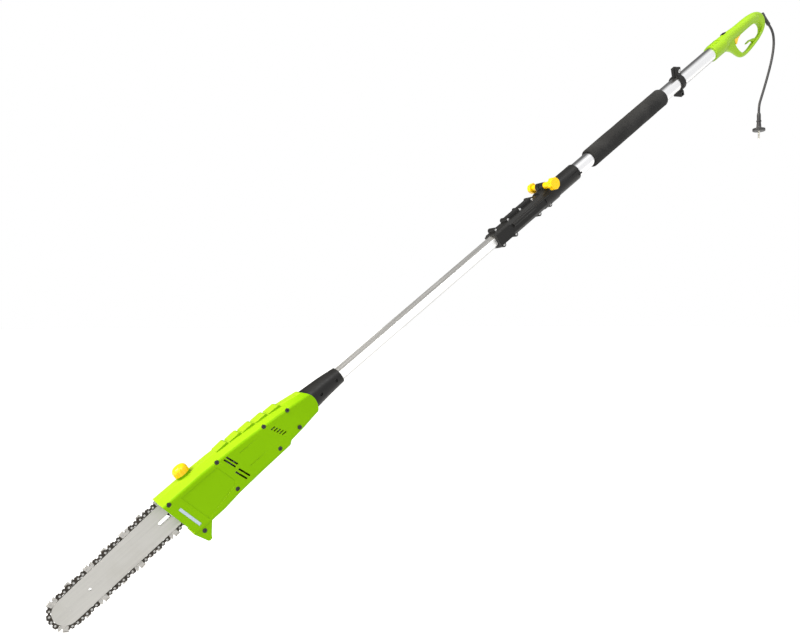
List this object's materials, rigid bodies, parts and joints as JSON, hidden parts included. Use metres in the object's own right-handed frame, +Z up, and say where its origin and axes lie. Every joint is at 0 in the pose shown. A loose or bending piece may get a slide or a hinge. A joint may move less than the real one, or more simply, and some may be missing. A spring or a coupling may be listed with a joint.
{
  "type": "telescoping pole saw",
  "caption": "Corded chainsaw head on a telescoping pole, with a foam front grip, clamp knobs, a strap clamp, and a rear loop handle with trigger, cord and plug.",
  "frame": {"origin": "centre of the foam grip on the pole axis, where the front hand holds the saw", "axes": "Z is up. The pole lies in the XZ plane and rises 36.9 degrees towards +X, from the chain bar at the low end to the handle at the high end. +Y is the sprocket cover side."},
  "size_m": [1.8684, 0.095, 1.3774],
  "materials": {
    "housing_green": "gloss",
    "handle_green": "gloss",
    "black_plastic": "satin",
    "grey_plastic": "satin",
    "yellow_plastic": "gloss",
    "trigger_orange": "gloss",
    "natural_plastic": "translucent",
    "window_clear": "gloss",
    "tube_steel": "polished",
    "tube_aluminium": "satin",
    "bar_steel": "satin",
    "chain_steel": "dark oiled",
    "cutter_chrome": "bright edge",
    "screw_steel": "bright zinc",
    "dark_screw": "black zinc",
    "gear_steel": "ground",
    "core_steel": "laminated",
    "copper_wire": "enamelled",
    "copper_bar": "turned",
    "carbon": "dull",
    "foam": "cellular foam",
    "seal_rubber": "matt",
    "cord_rubber": "satin",
    "plug_brass": "nickel plated"
  },
  "bodies": {
    "pole": {"upper_tube": "tube_steel", "foam_grip": "foam", "coupling_near": "black_plastic", "coupling_far": "black_plastic", "coupling_screws": "screw_steel", "clamp_collar": "black_plastic", "handle_near": "handle_green", "handle_far": "handle_green", "handle_screws": "dark_screw", "trigger_pin": "gear_steel", "trigger_spring": "gear_steel", "power_switch": "grey_plastic", "strain_relief": "cord_rubber", "cord": "cord_rubber", "plug_body": "cord_rubber", "plug_pins": "plug_brass"},
    "saw_head": {"lower_tube": "tube_aluminium", "tube_glide": "grey_plastic", "neck_near": "black_plastic", "neck_far": "black_plastic", "neck_screws": "dark_screw", "housing_near": "housing_green", "housing_far": "housing_green", "housing_screws": "dark_screw", "sprocket_cover": "black_plastic", "bar_studs": "screw_steel", "bar_nuts": "screw_steel", "chain_tensioner": "screw_steel", "guide_bar": "bar_steel", "chain_drive_links": "chain_steel", "chain_tie_straps": "chain_steel", "chain_cutters": "cutter_chrome", "chain_rivets": "gear_steel", "oil_window": "window_clear", "oil_tank": "natural_plastic", "oil_pump": "grey_plastic", "motor_stator": "core_steel", "field_coils": "copper_wire", "shaft_bearings": "gear_steel", "motor_end_frames": "grey_plastic", "carbon_brushes": "carbon"},
    "rotor": {"rotor_shaft": "gear_steel", "rotor_core": "core_steel", "commutator": "copper_bar", "cooling_fan": "grey_plastic", "bevel_pinion": "gear_steel"},
    "sprocket_shaft": {"output_shaft": "gear_steel", "bevel_wheel": "gear_steel", "drive_sprocket": "gear_steel"},
    "nose_wheel": {"nose_sprocket": "bar_steel"},
    "filler_cap": {"oil_cap": "yellow_plastic", "oil_cap_seal": "seal_rubber"},
    "near_knob": {"clamp_knob_near": "yellow_plastic", "clamp_bolt": "screw_steel"},
    "far_knob": {"clamp_knob_far": "yellow_plastic"},
    "strap_clamp": {"strap_clamp_near": "black_plastic", "strap_clamp_far": "black_plastic", "strap_clamp_fasteners": "screw_steel"},
    "trigger_lever": {"trigger": "trigger_orange"},
    "lock_slide": {"lock_button": "black_plastic"}
  },
  "joints": [
    {"name": "telescope", "type": "slide", "parent": "pole", "child": "saw_head", "axis": [-0.8, 0, -0.6], "range_m": [-0.4, 0.29]},
    {"name": "rotor_spin", "type": "hinge", "parent": "saw_head", "child": "rotor", "pos_m": [-0.95876, -0.004, -0.71166], "axis": [0.8, 0, 0.6], "continuous": true},
    {"name": "sprocket_spin", "type": "hinge", "parent": "saw_head", "child": "sprocket_shaft", "pos_m": [-1.03668, 0, -0.7701], "axis": [0, 1, 0], "continuous": true},
    {"name": "nose_spin", "type": "hinge", "parent": "saw_head", "child": "nose_wheel", "pos_m": [-1.26544, 0.019, -0.96116], "axis": [0, 1, 0], "continuous": true},
    {"name": "cap_turn", "type": "hinge", "parent": "saw_head", "child": "filler_cap", "pos_m": [-1.0802, 0, -0.7414], "axis": [-0.6, 0, 0.8], "range_deg": [0, 720]},
    {"name": "near_knob_turn", "type": "hinge", "parent": "pole", "child": "near_knob", "pos_m": [-0.2646, -0.043, -0.1672], "axis": [0, -1, 0], "range_deg": [0, 540]},
    {"name": "far_knob_turn", "type": "hinge", "parent": "pole", "child": "far_knob", "pos_m": [-0.2646, 0.032, -0.1672], "axis": [0, 1, 0], "range_deg": [0, 540]},
    {"name": "strap_clamp_slide", "type": "slide", "parent": "pole", "child": "strap_clamp", "axis": [0.8, 0, 0.6], "range_m": [-0.06, 0.14]},
    {"name": "trigger_squeeze", "type": "hinge", "parent": "pole", "child": "trigger_lever", "pos_m": [0.419, 0, 0.318], "axis": [0, 1, 0], "range_deg": [0, 10], "stiffness_Nm_per_rad": 0.6, "springref_deg": -11.46, "deforming": ["trigger_spring"]},
    {"name": "lock_press", "type": "slide", "parent": "pole", "child": "lock_slide", "axis": [0.6, 0, -0.8], "range_m": [0, 0.003], "stiffness_N_per_m": 300, "springref_m": -0.003}
  ],
  "couplings": [
    {"joint": "sprocket_spin", "follows": "rotor_spin", "ratio": -0.33333},
    {"joint": "nose_spin", "follows": "rotor_spin", "ratio": -0.22222}
  ]
}
